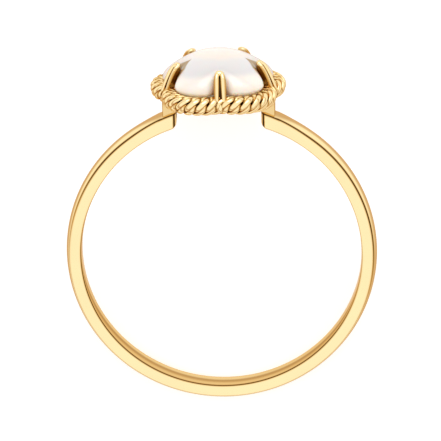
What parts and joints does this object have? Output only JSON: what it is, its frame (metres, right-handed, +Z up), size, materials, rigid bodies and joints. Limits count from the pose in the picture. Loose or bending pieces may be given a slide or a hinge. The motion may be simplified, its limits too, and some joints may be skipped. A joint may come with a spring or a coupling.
{
  "type": "mother-of-pearl ring",
  "caption": "Gold finger ring with a petalled mother-of-pearl cabochon held by double-wire claws inside a twisted rope border.",
  "frame": {"origin": "middle of the footprint, on the floor, with the ring lying on its side", "axes": "+Y from the finger hole to the flower, +Z up, out of the face of the band that the flower's front shows; +X to the right seen from above with the flower at the top"},
  "size_m": [0.0192, 0.0223, 0.0082],
  "materials": {
    "gold": "highly polished pale yellow gold",
    "nacre": "polished mother-of-pearl with a soft sheen"
  },
  "bodies": {
    "root": {"shank": "gold", "setting": "gold", "stone": "nacre"}
  },
  "joints": []
}
